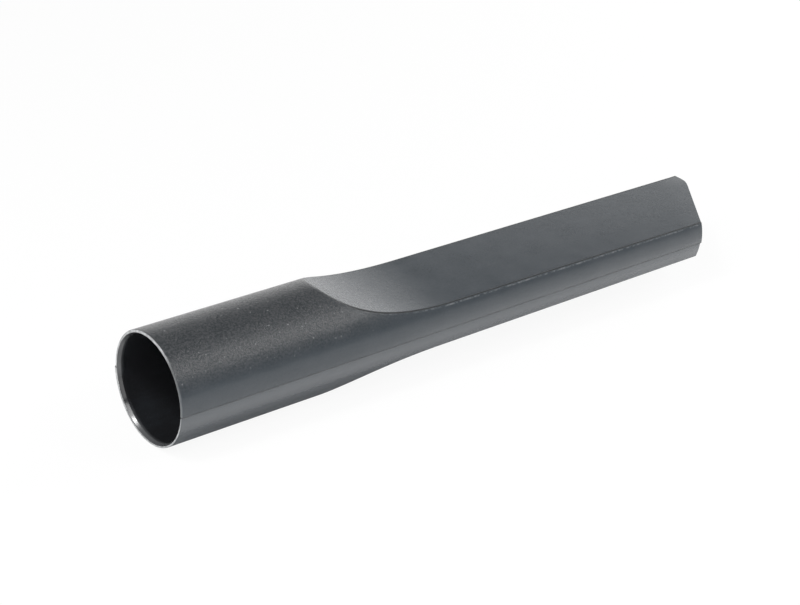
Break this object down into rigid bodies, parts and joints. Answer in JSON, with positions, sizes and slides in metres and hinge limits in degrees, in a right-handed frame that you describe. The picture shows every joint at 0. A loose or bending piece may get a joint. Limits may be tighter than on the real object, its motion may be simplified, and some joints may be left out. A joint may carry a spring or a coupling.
{
  "type": "vacuum crevice tool",
  "caption": "Hollow one-piece crevice nozzle: a round push-on tube is scooped in above and below to a low, wide duct with a slanted tip.",
  "frame": {"origin": "centre of the mouth's rim, on the bore's axis", "axes": "+X along the tool from the mouth to the tip, +Z square to the flats, and the tip's shorter side at -Y"},
  "size_m": [0.249, 0.0385, 0.038],
  "materials": {
    "tool_plastic": "dark blue-grey moulded plastic, fine even grain outside, smooth and glossy inside"
  },
  "bodies": {
    "root": {"crevice_tool": "tool_plastic"}
  },
  "joints": []
}
